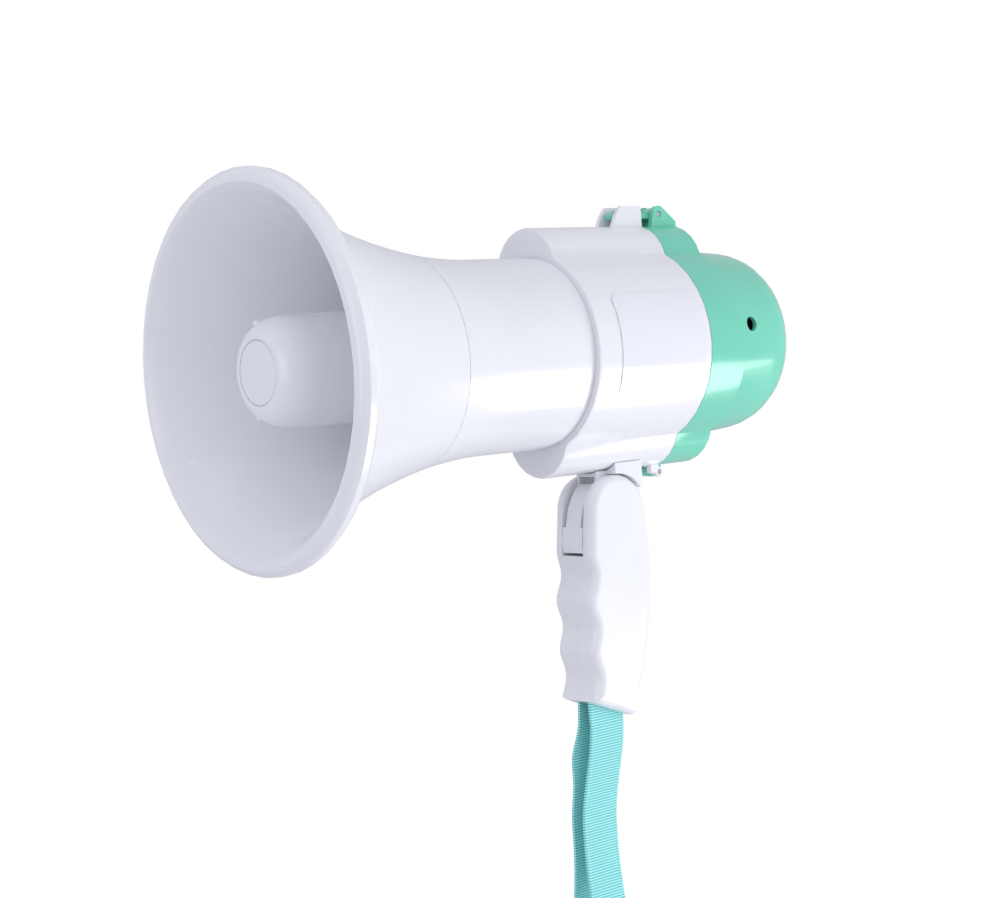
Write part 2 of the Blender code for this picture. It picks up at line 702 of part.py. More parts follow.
def make_microphone(axis):
    """Capsule, its rubber ring, and the slotted grille set into the cap's face."""
    face = CAP_END
    plate = rod_y(face - 0.0022, face + 0.0008, MIC_RADIUS, 32, MIC_PLACE)
    grille = add_piece("mic_grille", plate, axis, BLACK)
    for k in range(5):
        z = MIC_PLACE[1] + (k - 2) * 0.0038
        half = math.sqrt((MIC_RADIUS - 0.0022) ** 2 - (z - MIC_PLACE[1]) ** 2)
        slot = block((-half, face - 0.0040, z - 0.0008), (half, face + 0.0020, z + 0.0008))
        cut(grille, f"grille_slot_{k + 1}", slot)
    capsule_end = face - 0.0035
    add_piece("mic_ring", tube(capsule_end - 0.0065, capsule_end, 0.0075, 0.0053, 20, MIC_PLACE), axis, BLACK)
    add_piece("mic_capsule", rod_y(capsule_end - 0.0060, capsule_end, 0.0049, 20, MIC_PLACE), axis, STEEL)


def make_volume_pot(axis):
    inner_face = CAP_END - SHELL_WALL - GAP
    case = tube(inner_face - 0.0080, inner_face, 0.0080, 0.0034, 20, KNOB_PLACE)
    add_piece("volume_pot", case, axis, STEEL)


def make_volume_knob(axis):
    """A fluted knob with a pointer ridge, on its shaft."""
    start = CAP_END + 0.0006
    end = start + 0.0105
    flutes = 12
    outline = []
    for k in range(flutes * 4):
        angle = 2 * math.pi * k / (flutes * 4)
        radius = KNOB_RADIUS - (0.0007 if k % 4 == 0 else 0.0)
        outline.append((KNOB_PLACE[0] + radius * math.cos(angle), KNOB_PLACE[1] + radius * math.sin(angle)))
    knob = add_piece("volume_knob", prism_y(outline, start, end), axis, GREY)
    pointer = block(
        (KNOB_PLACE[0] - 0.0008, end - 0.0010, KNOB_PLACE[1] + 0.0010),
        (KNOB_PLACE[0] + 0.0008, end + 0.0008, KNOB_PLACE[1] + KNOB_RADIUS - 0.0012),
    )
    join(knob, "pointer", pointer)
    cut(knob, "shaft_bore", rod_y(start - 0.002, start + 0.0073, 0.0033, 20, KNOB_PLACE))
    shaft = rod_y(CAP_END - 0.0095, start + 0.0070, 0.0030, 20, KNOB_PLACE)
    add_piece("volume_shaft", shaft, axis, STEEL)


def make_mode_slider(axis):
    """The switch's slider, at the left end of its slot."""
    x, z = SWITCH_PLACE
    left = x - 0.0057
    inner_face = CAP_END - SHELL_WALL + 0.0001
    stem = block((left, inner_face, z - 0.0020), (left + 0.0055, CAP_END + 0.0014, z + 0.0020))
    add_piece("mode_slider", stem, axis, BLACK)


def make_latch_lever(axis):
    """The arm that runs forward under the keeper's bar, on its barrel."""
    y, z = LATCH_PIN
    barrel = arc(LATCH_PIN, 0.0031, 140, -150, 16)
    arm = [(y - 0.0055, 0.0577), (0.1992, 0.0577), (0.1985, 0.0590), (0.1992, 0.0602), (y - 0.0050, 0.0602)]
    reach = LATCH_LUG_INNER - GAP
    lever = add_piece("latch_lever", prism_x(barrel + arm, -reach, reach), axis, MINT)
    cut(lever, "lever_hole", rod_x(-0.0050, 0.0050, 0.0013, SMALL, LATCH_PIN))


# Grip


def grip_half(side):
    """One shell of the grip, rounded towards its outer face."""
    outline = grip_outline()
    flat = GRIP_HALF_WIDTH - GRIP_ROUND
    sections = [(GAP / 2, 0.0)]
    for angle in steps(0, math.pi / 2, 3):
        sections.append((flat + GRIP_ROUND * math.sin(angle), GRIP_ROUND * (1 - math.cos(angle))))
    return from_rings([[(side * x, y, z) for y, z in inset_outline(outline, i)] for x, i in sections])


def grip_cavity():
    """The hollow inside the lower grip, shared by both shells."""
    front = [(grip_front(z) + GRIP_WALL, z) for z in steps(-0.1520, CAVITY_TOP, 9)]
    back = [(grip_back(z) - GRIP_WALL, z) for z in steps(CAVITY_TOP, -0.1480, 4)]
    foot = [(0.1855, -0.1540), (0.1660, -0.1525)]
    reach = GRIP_HALF_WIDTH - GRIP_WALL
    return prism_x(front + back + foot, -reach, reach)


def make_grip(axis):
    screws = [(0.1790, -0.1060), (0.1770, -0.1340)]
    slot_front = STRAP_BAR[0] - 0.0098
    for name, side in (("grip_left", -1), ("grip_right", 1)):
        half = add_piece(name, grip_half(side), axis, WHITE)
        cut(half, f"{name}_cavity", grip_cavity())
        fork = rod_x(-FORK_HALF_WIDTH, FORK_HALF_WIDTH, KNUCKLE_RADIUS + 0.0005, 36, FOLD_PIN)
        cut(half, f"{name}_fork", fork)
        mouth = block((-FORK_HALF_WIDTH, 0.1500, -0.0901), (FORK_HALF_WIDTH, 0.1765, -0.0500))
        cut(half, f"{name}_fork_mouth", mouth)
        pocket = block((-0.0036, 0.1760, -0.0935), (0.0036, 0.1885, -0.0795))
        cut(half, f"{name}_switch_pocket", pocket)
        strap_slot = block((-0.0046, slot_front, -0.1700), (0.0046, slot_front + 0.0196, -0.1475))
        cut(half, f"{name}_strap_slot", strap_slot)
        cut(half, f"{name}_pin_hole", rod_x(-0.0120, 0.0120, 0.0033, 20, FOLD_PIN))
        cut(half, f"{name}_trigger_pin_hole", rod_x(-0.0098, 0.0098, 0.0014, SMALL, TRIGGER_PIN))
        for number, place in enumerate(screws, 1):
            low, high = sorted((side * GAP / 2, side * 0.0110))
            join(half, f"{name}_boss_{number}", rod_x(low, high, 0.0034, SMALL, place))
            cut(half, f"{name}_bore_{number}", rod_x(-0.0090, 0.0090, 0.0016, SMALL, place))
            if side < 0:
                cut(half, f"{name}_counterbore_{number}", rod_x(-0.0150, -0.0085, 0.0030, SMALL, place))
    for number, place in enumerate(screws, 1):
        add_grip_screw(f"grip_screw_{number}", place, axis)


def add_grip_screw(name, place, axis):
    sections = [(-0.0115, 0.0020), (-0.0110, 0.0026), (-0.0088, 0.0026), (-0.0088, 0.0013), (0.0085, 0.0013)]
    rings = [[(x, y, z) for y, z in circle(radius, SMALL, place)] for x, radius in sections]
    add_piece(name, from_rings(rings), axis, STEEL)


def make_trigger(axis):
    """The talk trigger: a curved pad that pivots at its foot, with a hood that closes the fork above it."""
    pad = [(0.1638, -0.0888), (0.1632, -0.0850), (0.1640, -0.0800), (0.1652, -0.0745), (0.1667, -0.0690)]
    pad += arc(FOLD_PIN, TRIGGER_HOOD_RADIUS, 154, 118, 6)
    pad += arc(FOLD_PIN, TRIGGER_HOOD_RADIUS - 0.0022, 118, 146, 5)
    pad += [(0.1713, -0.0760), (0.1708, -0.0850), (0.1700, -0.0888), (0.1675, -0.0896)]
    trigger = add_piece("trigger", prism_x(pad, -TRIGGER_HALF_WIDTH, TRIGGER_HALF_WIDTH), axis, WHITE)
    for side in (-1, 1):
        low, high = sorted((side * TRIGGER_TOP_HALF_WIDTH, side * 0.0080))
        step = block((low, 0.1600, TRIGGER_SHOULDER), (high, 0.1790, -0.0560))
        cut(trigger, f"trigger_step_{side + 2}", step)
    cut(trigger, "trigger_bore", rod_x(-0.0080, 0.0080, 0.0014, SMALL, TRIGGER_PIN))


def make_grip_inside(axis):
    add_piece("trigger_pin", rod_x(-0.0095, 0.0095, 0.0011, SMALL, TRIGGER_PIN), axis, STEEL)
    switch = block((-0.0032, 0.1768, -0.0985), (0.0032, 0.1880, -0.0800))
    talk = add_piece("talk_switch", switch, axis, BLACK)
    join(talk, "plunger", rod_y(0.1718, 0.1775, 0.0010, SMALL, (0.0, -0.0820)))
    bar_y, bar_z = STRAP_BAR
    bar = rod_y(bar_y - 0.0094, bar_y + 0.0094, STRAP_BAR_RADIUS, SMALL, (0.0, bar_z))
    add_piece("strap_bar", bar, axis, STEEL)


# Strap


def strap_route():
    """The loop's centre line as (x, y, z): over the bar, down one side, round the bottom and back."""
    bar_y, top = STRAP_BAR
    turn = STRAP_BAR_RADIUS + GAP + STRAP_THICKNESS / 2
    foot = GRIP_BOTTOM_BACK - 0.0020
    bottom = foot - STRAP_DROP
    spread = STRAP_LOOP_RADIUS
    over = [(x, z) for x, z in arc((0, top), turn, 180, 0, 8)]
    down = []
    for share in steps(0, 1, 16):
        z = foot + (bottom + spread - foot) * share
        opened = min(1.0, max(0.0, (share - STRAP_CLOSED_SHARE) / 0.5))
        x = turn + 0.0006 + (spread - turn) * (1 - math.cos(math.pi * opened)) / 2
        down.append((x, z))
    under = arc((0, down[-1][1]), down[-1][0], 0, -180, 12)[1:-1]
    up = [(-x, z) for x, z in reversed(down)]
    flat = over + down + under + up
    lean_start, lean = foot, 0.0080
    route = []
    for x, z in flat:
        share = min(1.0, max(0.0, (lean_start - z) / 0.0450))
        route.append(Vector((x, bar_y - lean * share**2 * (3 - 2 * share), z)))
    return route


def make_strap(axis):
    route = strap_route()
    rings = []
    for k, point in enumerate(route):
        along = route[(k + 1) % len(route)] - route[k - 1]
        out = Vector((along.z, 0.0, -along.x)).normalized() * (STRAP_THICKNESS / 2)
        half = Vector((0.0, STRAP_WIDTH / 2, 0.0))
        rings.append([point - half - out, point + half - out, point + half + out, point - half + out])
    add_piece("wrist_strap", ring_loop(rings), axis, WEBBING)


def main():
    clear_scene()
    grip = axis_empty("grip_axis", GRIP_ORIGIN)
    horn = axis_empty("fold_axis", (0.0, *FOLD_PIN), grip)
    trigger = axis_empty("trigger_axis", (0.0, *TRIGGER_PIN), grip)
    cap = axis_empty("cap_axis", (0.0, *CAP_PIN), horn)
    latch = axis_empty("latch_axis", (0.0, *LATCH_PIN), cap)
    volume = axis_empty("volume_axis", (KNOB_PLACE[0], CAP_END, KNOB_PLACE[1]), cap)
    mode = axis_empty("mode_axis", (SWITCH_PLACE[0], CAP_END, SWITCH_PLACE[1]), cap)
    make_bell(horn)
    make_horn_collar(horn)
    make_reflector_cup(horn)
    make_spider(horn)
    make_throat(horn)
    make_driver(horn)
    make_housing(horn)
    make_bracket(horn)
    make_label(horn)
    make_batteries(horn)
    make_cap(cap)
    make_electronics(cap)
    make_latch_lever(latch)
    make_volume_knob(volume)
    make_mode_slider(mode)
    make_grip(grip)
    make_grip_inside(grip)
    make_trigger(trigger)
    make_strap(grip)


main()
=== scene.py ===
"""Looks of the handheld megaphone: materials, woven strap, small trim, studio light and camera."""

import json
import math

import bmesh
import bpy
from mathutils import Matrix, Vector


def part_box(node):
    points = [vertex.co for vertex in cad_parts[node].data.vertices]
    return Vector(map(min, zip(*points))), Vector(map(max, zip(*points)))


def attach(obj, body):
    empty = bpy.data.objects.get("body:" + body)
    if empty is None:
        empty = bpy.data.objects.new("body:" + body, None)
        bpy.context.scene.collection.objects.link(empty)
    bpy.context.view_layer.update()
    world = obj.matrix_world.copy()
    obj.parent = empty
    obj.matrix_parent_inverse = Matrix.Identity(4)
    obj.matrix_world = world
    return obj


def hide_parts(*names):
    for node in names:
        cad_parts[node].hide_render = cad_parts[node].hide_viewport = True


# Camera: place in metres, direction in degrees, lens in millimetres on a 36 mm sensor
CAMERA_PLACE = (0.6561, -0.5945, 0.1160)
CAMERA_AZIMUTH = 50.593
CAMERA_ELEVATION = 2.735
CAMERA_ROLL = -3.921
CAMERA_LENS = 71.54

# Strap, as the CAD lays it: a loop over a bar, with its legs closed at first and then opening to a round end
STRAP_WIDTH = 0.0190
STRAP_THICKNESS = 0.0014
STRAP_BAR = (-0.0079, -0.0365)
STRAP_TURN = 0.0030
STRAP_FOOT = -0.0500
STRAP_DROP = 0.1850
STRAP_LOOP_RADIUS = 0.0130
STRAP_LEAN = 0.0080
STRAP_LEAN_DROP = 0.0450
STRAP_CLOSED_SHARE = 0.30
STRAP_OPENING_SHARE = 0.50
STRAP_LEG_GAP = 0.0006
STRAP_LEG_STEPS = 60
STRAP_COLUMNS = 6
STRAP_SMOOTH_ANGLE = 50

# The far leg bows forward a little under the grip's foot
STRAP_BULGE = 0.0035
STRAP_BULGE_DROP = 0.0140
STRAP_BULGE_REACH = 0.0100

# Weave: cross ribs drawn into waves by the lengthwise yarns. The heights swing about the middle of a relief
# that runs from 0 to 1. The relief also paints shade into the colour, darker in its dips and lighter on its
# crests, and the fuzz only varies the colour, at random
RIB_PITCH = 0.0012
WARP_PITCH = 0.0017
RIB_WAVE = 0.9
RIB_HEIGHT = 0.35
WARP_HEIGHT = 0.12
FUZZ_SHADE = 0.25
FUZZ_MIDDLE = 0.12

# The copper-toned band of a battery cell starts this far back
CELL_BAND_START = 0.026

FLOOR_HEIGHT = -0.85
FLOOR_REACH = 8.0

# Nodes that a smoothly shaded copy stands for, and the angle up to which their faces blend
SMOOTH_NODES = (
    "bell", "horn_collar", "reflector_cup", "horn_spider", "throat_tube", "main_housing", "hinge_bracket",
    "rear_cap", "grip_left", "grip_right", "trigger", "latch_lever", "volume_knob", "mic_grille",
    "battery_holder", "fold_pin",
)
SMOOTH_ANGLE = 33

# Gap that the CAD leaves between mating shells, and the share of it that the smooth copies keep
SEAM = 0.0003
SEAM_SHARE_KEPT = 0.1

# Horn and housing share one level axis. The housing's front hole ends within this depth of its front
HORN_AXIS_HEIGHT = 0.115
HORN_RADIUS = 0.0416
FRONT_WALL_DEPTH = 0.0035

# Label: the CAD plate is a curved sheet set off from the housing. Its stand-in, a film, lies on the housing
LABEL_PLATE_THICKNESS = 0.0004
LABEL_PLATE_GAP = 0.0003
LABEL_FILM_THICKNESS = 0.00028
LABEL_CORNER = 0.0030
LABEL_COLUMNS = 24
LABEL_ROWS = 20

# Trim. Sizes are width, depth and height. Setbacks run back from the front of the cup and the latch, and in
# from the socket's open side
CLIP_SIZE = (0.0040, 0.0050, 0.0030)
CLIP_ANGLES = (115, 235)
CLIP_CIRCLE = 0.0206
CLIP_SETBACK = 0.0085
PAD_SIZE = (0.0056, 0.0040, 0.0010)
PAD_SETBACK = 0.0030
PAD_HEIGHT = 0.0029
JACK_PIN_BASE_RADIUS = 0.0009
JACK_PIN_TIP_RADIUS = 0.0006
JACK_PIN_LENGTH = 0.0080
JACK_PIN_SETBACK = 0.0052


# Node helpers


def new_material(name, roughness, metallic=0.0, **sockets):
    made = bpy.data.materials.new(name)
    made.use_nodes = True
    shader = made.node_tree.nodes["Principled BSDF"]
    shader.inputs["Roughness"].default_value = roughness
    shader.inputs["Metallic"].default_value = metallic
    for socket, value in sockets.items():
        shader.inputs[socket.replace("_", " ")].default_value = value
    return made, made.node_tree, shader


def add_noise(tree, scale, detail=3.0, stretch=(1, 1, 1)):
    place = tree.nodes.new("ShaderNodeTexCoord")
    mapping = tree.nodes.new("ShaderNodeMapping")
    mapping.inputs["Scale"].default_value = stretch
    noise = tree.nodes.new("ShaderNodeTexNoise")
    noise.inputs["Scale"].default_value = scale
    noise.inputs["Detail"].default_value = detail
    tree.links.new(place.outputs["Object"], mapping.inputs["Vector"])
    tree.links.new(mapping.outputs["Vector"], noise.inputs["Vector"])
    return noise.outputs["Fac"]


def mix_colour(tree, factor, first, second):
    ramp = tree.nodes.new("ShaderNodeValToRGB")
    ramp.color_ramp.elements[0].color = (*first, 1)
    ramp.color_ramp.elements[0].position = 0.3
    ramp.color_ramp.elements[1].color = (*second, 1)
    ramp.color_ramp.elements[1].position = 0.7
    tree.links.new(factor, ramp.inputs["Fac"])
    return ramp.outputs["Color"]


def add_range(tree, value, low, high):
    spread = tree.nodes.new("ShaderNodeMapRange")
    spread.inputs["To Min"].default_value = low
    spread.inputs["To Max"].default_value = high
    tree.links.new(value, spread.inputs["Value"])
    return spread.outputs["Result"]


def add_bump(tree, height, shader, strength, distance):
    bump = tree.nodes.new("ShaderNodeBump")
    bump.inputs["Strength"].default_value = strength
    bump.inputs["Distance"].default_value = distance
    tree.links.new(height, bump.inputs["Height"])
    tree.links.new(bump.outputs["Normal"], shader.inputs["Normal"])


def add_math(tree, operation, *values):
    node = tree.nodes.new("ShaderNodeMath")
    node.operation = operation
    for socket, value in zip(node.inputs, values):
        if isinstance(value, (int, float)):
            socket.default_value = value
        else:
            tree.links.new(value, socket)
    return node.outputs["Value"]


# Materials


def moulded(name, light, dark, roughness, grain=0.05, **sockets):
    """Moulded plastic: slow drift of colour, patchy gloss and a fine surface grain."""
    made, tree, shader = new_material(name, roughness, **sockets)
    colour = mix_colour(tree, add_noise(tree, 14.0), dark, light)
    tree.links.new(colour, shader.inputs["Base Color"])
    gloss = add_range(tree, add_noise(tree, 55.0), roughness - 0.05, roughness + 0.06)
    tree.links.new(gloss, shader.inputs["Roughness"])
    add_bump(tree, add_noise(tree, 900.0, 2.0), shader, grain, 0.0002)
    return made


def plated(name, light, dark, roughness, stretch):
    """Metal with fine lines along one direction."""
    made, tree, shader = new_material(name, roughness, 1.0)
    lines = add_noise(tree, 260.0, 4.0, stretch)
    tree.links.new(mix_colour(tree, lines, dark, light), shader.inputs["Base Color"])
    tree.links.new(add_range(tree, lines, roughness, roughness + 0.15), shader.inputs["Roughness"])
    add_bump(tree, lines, shader, 0.08, 0.0001)
    return made


def webbing_material():
    """Flat woven webbing: cross ribs over finer lengthwise yarns, from the strap's own length and width. Its
    colour holds painted shade and highlight: darker teal in the weave's dips, lighter teal on its crests.
    """
    made, tree, shader = new_material("webbing_weave", 0.72, Sheen_Weight=0.35, Sheen_Roughness=0.5)
    place = tree.nodes.new("ShaderNodeUVMap")
    place.uv_map = "weave"
    split = tree.nodes.new("ShaderNodeSeparateXYZ")
    tree.links.new(place.outputs["UV"], split.inputs["Vector"])
    across, along = split.outputs["X"], split.outputs["Y"]
    rib_phase = add_math(tree, "MULTIPLY", along, 2 * math.pi / RIB_PITCH)
    yarn_phase = add_math(tree, "MULTIPLY", across, 2 * math.pi / WARP_PITCH)
    yarn = add_math(tree, "SINE", yarn_phase)
    wave = add_math(tree, "MULTIPLY", yarn, RIB_WAVE)
    rib = add_math(tree, "SINE", add_math(tree, "ADD", rib_phase, wave))
    rib_relief = add_math(tree, "MULTIPLY", rib, RIB_HEIGHT)
    yarn_relief = add_math(tree, "MULTIPLY", yarn, WARP_HEIGHT)
    level = add_math(tree, "ADD", add_math(tree, "ADD", rib_relief, yarn_relief), 0.5)
    fuzz = add_math(tree, "MULTIPLY", add_noise(tree, 1400.0), FUZZ_SHADE)
    # Painted shade and highlight: the relief level picks the colour, a shaded teal in the dips and a lit
    # teal on the crests, with random fuzz on top
    fuzz_and_painted_shade = add_math(tree, "ADD", level, add_math(tree, "SUBTRACT", fuzz, FUZZ_MIDDLE))
    colour = mix_colour(tree, fuzz_and_painted_shade, (0.04, 0.56, 0.56), (0.50, 0.93, 0.90))
    tree.links.new(colour, shader.inputs["Base Color"])
    add_bump(tree, level, shader, 0.55, 0.0003)
    return made


def battery_material():
    """A plain wrapped cell: a copper-toned end band on a dark blue body."""
    made, tree, shader = new_material("cell_wrap", 0.3, 0.35)
    place = tree.nodes.new("ShaderNodeTexCoord")
    split = tree.nodes.new("ShaderNodeSeparateXYZ")
    tree.links.new(place.outputs["Object"], split.inputs["Vector"])
    band = add_math(tree, "GREATER_THAN", split.outputs["Y"], CELL_BAND_START)
    colour = mix_colour(tree, band, (0.02, 0.05, 0.14), (0.55, 0.27, 0.10))
    tree.links.new(colour, shader.inputs["Base Color"])
    add_bump(tree, add_noise(tree, 500.0), shader, 0.05, 0.0001)
    return made


def white_plastic():
    """Glossy white moulding that lets a little light into its surface."""
    return moulded(
        "white",
        (0.93, 0.935, 0.965),
        (0.90, 0.905, 0.94),
        0.24,
        Coat_Weight=0.35,
        Coat_Roughness=0.08,
        IOR=1.5,
        Subsurface_Weight=0.12,
        Subsurface_Scale=0.004,
        Subsurface_Radius=(1.0, 0.95, 0.98),
    )


def make_materials():
    return {
        "white_plastic": white_plastic(),
        "label_film": moulded("label", (0.90, 0.905, 0.94), (0.87, 0.875, 0.92), 0.12, 0.02),
        "mint_plastic": moulded(
            "mint", (0.205, 0.73, 0.53), (0.175, 0.67, 0.48), 0.22, Coat_Weight=0.4, Coat_Roughness=0.08
        ),
        "grey_plastic": moulded("grey", (0.45, 0.46, 0.48), (0.37, 0.38, 0.41), 0.5, 0.2),
        "black_plastic": moulded("black", (0.028, 0.028, 0.03), (0.012, 0.012, 0.014), 0.45, 0.25),
        "diaphragm_film": moulded("film", (0.55, 0.42, 0.20), (0.42, 0.30, 0.12), 0.35, 0.1),
        "circuit_board": moulded("board", (0.03, 0.26, 0.11), (0.015, 0.16, 0.06), 0.4, 0.2),
        "ferrite": moulded("magnet", (0.09, 0.09, 0.10), (0.04, 0.04, 0.045), 0.6, 0.35),
        "steel": plated("plated_steel", (0.68, 0.68, 0.70), (0.50, 0.50, 0.52), 0.24, (1, 0.1, 1)),
        "brass": plated("plated_brass", (0.83, 0.64, 0.30), (0.66, 0.48, 0.20), 0.22, (0.1, 1, 1)),
        "battery_wrap": battery_material(),
        "teal_webbing": webbing_material(),
    }


def dress_nodes(frame, materials):
    """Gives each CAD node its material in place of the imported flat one."""
    for entry in frame["record"]["subparts"]:
        for place in frame["nodes"][entry["node"]].material_slots:
            place.material = materials[entry["material_slot"]]


def smooth_copies(frame, materials):
    """Stands smoothly shaded copies in for the round and moulded nodes, whose packed faces are flat."""
    slots = {entry["node"]: entry["material_slot"] for entry in frame["record"]["subparts"]}
    for body, names in frame["record"]["behaviour"]["bodies"].items():
        for name in names:
            if name in SMOOTH_NODES:
                slot = slots[name]
                smooth_copy(frame["nodes"][name], name, body, materials[slot])


def smooth_copy(node, name, body, material):
    shape = node_shape(node)
    if name.startswith("grip_"):
        close_seam(shape)
    if name == "main_housing":
        close_horn_hole(shape)
    copy = add_piece(f"smooth_{name}", shape, body, material, SMOOTH_ANGLE)
    even = copy.modifiers.new("even", "WEIGHTED_NORMAL")
    even.keep_sharp = True
    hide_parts(name)


def node_shape(node):
    """A node's mesh with its corners joined, so that shading can run over its edges."""
    shape = bmesh.new()
    shape.from_mesh(node.data)
    for kind in (shape.loops.layers.float_vector, shape.loops.layers.uv):
        for layer in list(kind.values()):
            kind.remove(layer)
    bmesh.ops.remove_doubles(shape, verts=shape.verts, dist=1e-6)
    bmesh.ops.dissolve_limit(shape, angle_limit=math.radians(0.4), verts=shape.verts, edges=shape.edges)
    return shape


def close_seam(shape):
    """Brings the mating edges of a grip shell to the middle, where the real shells meet."""
    for vert in shape.verts:
        if abs(vert.co.x) < SEAM:
            vert.co.x *= SEAM_SHARE_KEPT


def close_horn_hole(shape):
    """Brings the edge of the housing's front hole against the horn, where the real parts are joined."""
    wall_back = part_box("main_housing")[0][1] + FRONT_WALL_DEPTH
    for vert in shape.verts:
        across = math.hypot(vert.co.x, vert.co.z - HORN_AXIS_HEIGHT)
        if vert.co.y < wall_back and abs(across - HORN_RADIUS - SEAM) < SEAM / 2:
            shrink = (HORN_RADIUS + SEAM * SEAM_SHARE_KEPT) / across
            vert.co.x *= shrink
            vert.co.z = HORN_AXIS_HEIGHT + (vert.co.z - HORN_AXIS_HEIGHT) * shrink


# Pieces


def add_piece(name, shape, body, material, smooth_angle=35):
    mesh = bpy.data.meshes.new(name)
    shape.to_mesh(mesh)
    shape.free()
    if "custom_normal" in mesh.attributes:
        mesh.attributes.remove(mesh.attributes["custom_normal"])
    mesh.shade_smooth()
    mesh.set_sharp_from_angle(angle=math.radians(smooth_angle))
    mesh.materials.append(material)
    piece = bpy.data.objects.new(name, mesh)
    bpy.context.collection.objects.link(piece)
    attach(piece, body)
    return piece


def rounded_block(centre, size, turn=0.0, rounding=0.0004):
    shape = bmesh.new()
    bmesh.ops.create_cube(shape, size=1.0)
    spin = Matrix.Rotation(turn, 4, "Y")
    move = Matrix.Translation(centre) @ spin @ Matrix.Diagonal((*size, 1.0))
    bmesh.ops.transform(shape, matrix=move, verts=shape.verts)
    bmesh.ops.bevel(shape, geom=shape.edges[:], offset=rounding, segments=3, affect="EDGES", profile=0.6)
    return shape


def strap_route():
    """Centre line of the loop, from the top of the bar down the near leg and up the far one."""
    top = STRAP_BAR[1]
    turn = [(STRAP_TURN * math.sin(a), top + STRAP_TURN * math.cos(a)) for a in quarter_turn(8)]
    half = turn + strap_leg()
    reach, low = half[-1]
    under = [(reach * math.cos(a), low - reach * math.sin(a)) for a in inner_half_turn(24)]
    return [strap_point(x, z) for x, z in half + under + [(-x, z) for x, z in reversed(half)]]


def strap_leg():
    """One leg from the grip's foot to the round end, as distances to the side and heights."""
    drop = STRAP_DROP - STRAP_LOOP_RADIUS
    leg = []
    for k in range(STRAP_LEG_STEPS + 1):
        share = k / STRAP_LEG_STEPS
        opened = min(1.0, max(0.0, (share - STRAP_CLOSED_SHARE) / STRAP_OPENING_SHARE))
        ease = (1 - math.cos(math.pi * opened)) / 2
        x = STRAP_TURN + STRAP_LEG_GAP + (STRAP_LOOP_RADIUS - STRAP_TURN) * ease
        leg.append((x, STRAP_FOOT - drop * share))
    return leg


def strap_point(x, z):
    """Places a point of the loop: both legs lean forward as they leave the foot, and the far one bows."""
    share = min(1.0, max(0.0, (STRAP_FOOT - z) / STRAP_LEAN_DROP))
    y = STRAP_BAR[0] - STRAP_LEAN * share**2 * (3 - 2 * share)
    if x < 0:
        y -= STRAP_BULGE * math.exp(-(((z - STRAP_FOOT + STRAP_BULGE_DROP) / STRAP_BULGE_REACH) ** 2))
    return Vector((x, y, z))


def quarter_turn(count):
    return [math.pi / 2 * k / count for k in range(count + 1)]


def inner_half_turn(count):
    """Angles of a half turn without its two ends."""
    return [math.pi * k / count for k in range(1, count)]


def band_rows(shape, route, offsets):
    """Adds the band's cross sections along the route, each a closed ring of corners."""
    rows = []
    for k, point in enumerate(route):
        after, before = route[min(k + 1, len(route) - 1)], route[max(k - 1, 0)]
        along = (after - before).normalized()
        out = Vector((along.z, 0.0, -along.x)).normalized() * (STRAP_THICKNESS / 2)
        upper = [shape.verts.new(point + Vector((0, o, 0)) + out) for o in offsets]
        lower = [shape.verts.new(point + Vector((0, o, 0)) - out) for o in reversed(offsets)]
        rows.append(upper + lower)
    return rows


def band_shape(route, travelled):
    """A flat band along the route. Its map holds metres across and along, for the weave."""
    shape = bmesh.new()
    weave = shape.loops.layers.uv.new("weave")
    offsets = [STRAP_WIDTH * (c / STRAP_COLUMNS - 0.5) for c in range(STRAP_COLUMNS + 1)]
    rows = band_rows(shape, route, offsets)
    across = offsets + offsets[::-1]
    count = len(across)
    for k in range(len(rows) - 1):
        for c in range(count):
            n = (c + 1) % count
            face = shape.faces.new((rows[k][c], rows[k][n], rows[k + 1][n], rows[k + 1][c]))
            for loop, (u, v) in zip(face.loops, ((c, k), (n, k), (n, k + 1), (c, k + 1))):
                loop[weave].uv = (across[u], travelled[v])
    shape.faces.new(rows[0])
    shape.faces.new(rows[-1])
    bmesh.ops.recalc_face_normals(shape, faces=shape.faces)
    return shape


def make_strap(material):
    """The woven wrist strap, built as a flat band along its loop."""
    route = strap_route()
    travelled = [0.0]
    for start, end in zip(route, route[1:]):
        travelled.append(travelled[-1] + (end - start).length)
    shape = band_shape(route, travelled)
    strap = add_piece("woven_strap", shape, "grip", material, STRAP_SMOOTH_ANGLE)
    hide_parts("wrist_strap")


def make_label(material):
    """A blank film with rounded corners, laid on the housing's near side."""
    low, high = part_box("label_plate")
    radius = high[0] - LABEL_PLATE_THICKNESS - LABEL_PLATE_GAP + LABEL_FILM_THICKNESS
    bottom = math.asin((low[2] - HORN_AXIS_HEIGHT) / high[0])
    top = math.asin((high[2] - HORN_AXIS_HEIGHT) / high[0])
    shape = bmesh.new()
    grid = []
    for r in range(LABEL_ROWS + 1):
        angle = bottom + (top - bottom) * r / LABEL_ROWS
        inset = corner_inset(min(angle - bottom, top - angle) * radius, LABEL_CORNER)
        start, length = low[1] + inset, high[1] - low[1] - 2 * inset
        x, z = radius * math.cos(angle), HORN_AXIS_HEIGHT + radius * math.sin(angle)
        row = [(x, start + length * c / LABEL_COLUMNS, z) for c in range(LABEL_COLUMNS + 1)]
        grid.append([shape.verts.new(place) for place in row])
    for below, above in zip(grid, grid[1:]):
        for c in range(LABEL_COLUMNS):
            shape.faces.new((below[c], below[c + 1], above[c + 1], above[c]))
    shape.normal_update()
    bmesh.ops.solidify(shape, geom=shape.faces[:], thickness=LABEL_FILM_THICKNESS)
    bmesh.ops.recalc_face_normals(shape, faces=shape.faces)
    film = add_piece("label_film", shape, "horn", material)
    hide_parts("label_plate")


def corner_inset(edge, corner):
    """How far a round corner draws in a row that lies this far from the edge."""
    rise = max(0.0, corner - edge)
    return corner - math.sqrt(max(0.0, corner**2 - rise**2))


